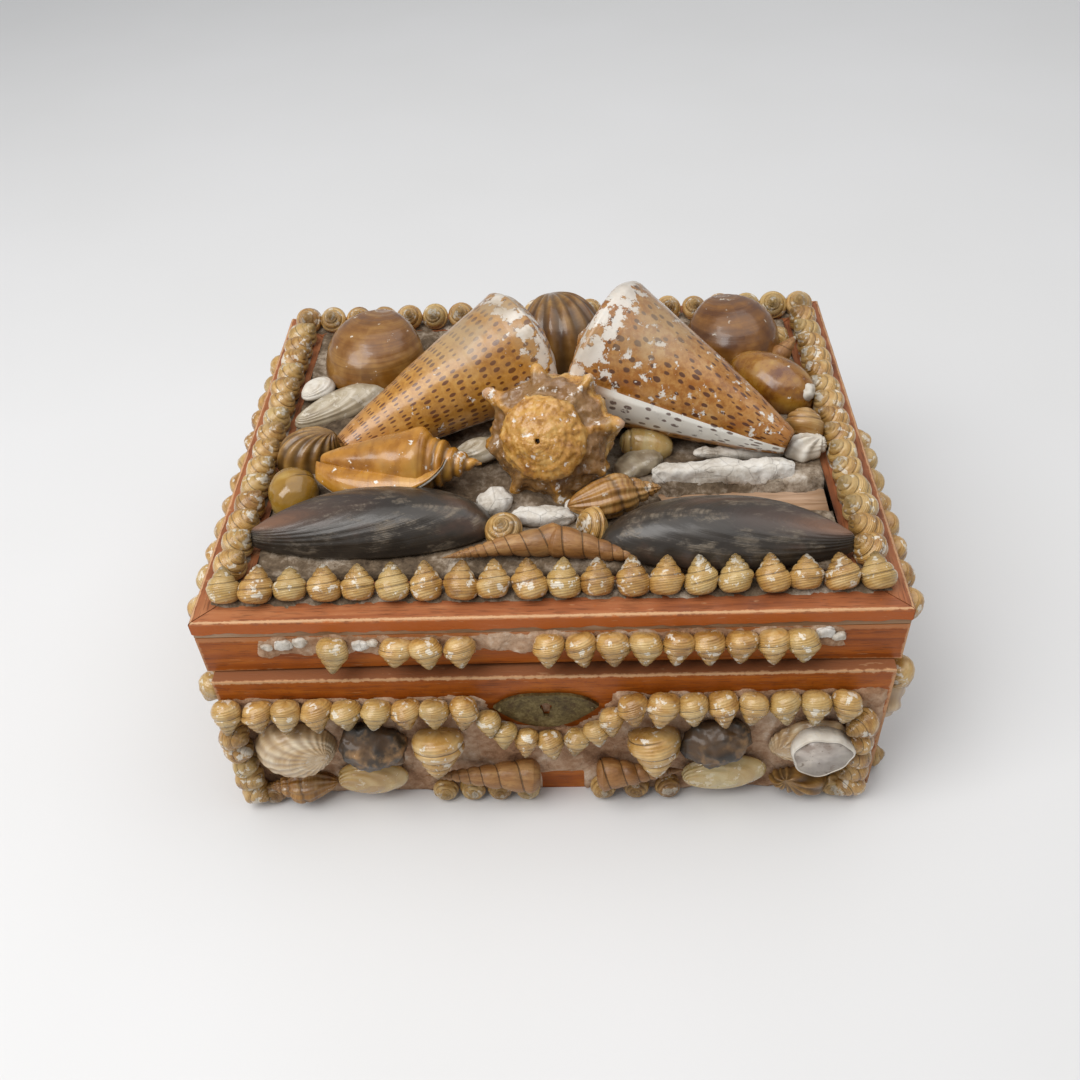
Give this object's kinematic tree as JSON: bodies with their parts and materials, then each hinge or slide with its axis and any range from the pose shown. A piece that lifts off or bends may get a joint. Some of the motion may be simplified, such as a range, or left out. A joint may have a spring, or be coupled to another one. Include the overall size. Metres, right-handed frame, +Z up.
{
  "type": "shell box",
  "caption": "Small lidded wooden box with a brass lock plate, its lid and sides covered with sea shells set in plaster.",
  "frame": {"origin": "middle of the wooden case's underside, which stands on the table", "axes": "+Z up, -Y out of the front with the lock plate, +X to the right seen from the front"},
  "size_m": [0.2136, 0.1831, 0.124],
  "materials": {
    "veneered_wood": "orange-brown veneer, rubbed satin, with pale worn edges",
    "bare_wood": "dry, unfinished board",
    "plaster": "rough grey-white plaster with old glue",
    "cream_shell": "varnished cream and gold top shells with pearly rubs",
    "amber_shell": "varnished amber shell with chalky worn edges",
    "spotted_shell": "varnished ochre shell with rows of dark brown spots",
    "brown_shell": "varnished brown shell with growth lines",
    "dark_shell": "blue-black shell, satin",
    "pale_shell": "thin pale shell, slightly pearly",
    "old_brass": "dull olive-brown brass"
  },
  "bodies": {
    "root": {"case_ark": "brown_shell", "case_back_board": "veneered_wood", "case_back_shells": "cream_shell", "case_big_top_left": "cream_shell", "case_big_top_right": "cream_shell", "case_cockle": "pale_shell", "case_dark_shell_left": "dark_shell", "case_dark_shell_right": "dark_shell", "case_floor_board": "bare_wood", "case_front_board": "veneered_wood", "case_front_field": "cream_shell", "case_jingle_left": "pale_shell", "case_jingle_right": "pale_shell", "case_left_board": "veneered_wood", "case_left_shells": "cream_shell", "case_open_valve": "pale_shell", "case_right_board": "veneered_wood", "case_right_shells": "cream_shell", "case_turret_left": "brown_shell", "case_turret_right": "brown_shell", "case_whelk": "brown_shell", "clam_shell_left": "brown_shell", "clam_shell_right": "brown_shell", "cockle_shell_back": "brown_shell", "cockle_shell_left": "brown_shell", "conch_shell": "amber_shell", "cone_shell_left": "spotted_shell", "cone_shell_right": "spotted_shell", "cowrie_shell_middle": "pale_shell", "cowrie_shell_right": "amber_shell", "crown_shell": "amber_shell", "lid_back_board": "veneered_wood", "lid_border_back": "cream_shell", "lid_border_front": "cream_shell", "lid_border_left": "cream_shell", "lid_border_right": "cream_shell", "lid_facing_back": "veneered_wood", "lid_facing_front": "veneered_wood", "lid_facing_left": "veneered_wood", "lid_facing_right": "veneered_wood", "lid_front_board": "veneered_wood", "lid_front_row": "cream_shell", "lid_left_board": "veneered_wood", "lid_left_row": "cream_shell", "lid_plaster_bed": "plaster", "lid_plaster_ridge": "plaster", "lid_right_board": "veneered_wood", "lid_right_row": "cream_shell", "lid_top_board": "bare_wood", "lock_case": "old_brass", "lock_plate": "old_brass", "moon_shell_right": "amber_shell", "mussel_shell_left": "dark_shell", "mussel_shell_right": "dark_shell", "periwinkle_shell": "amber_shell", "top_shell_left": "amber_shell", "top_shell_right": "cream_shell", "turret_shell_left": "brown_shell", "turret_shell_right": "brown_shell", "whelk_shell": "amber_shell"}
  },
  "joints": []
}
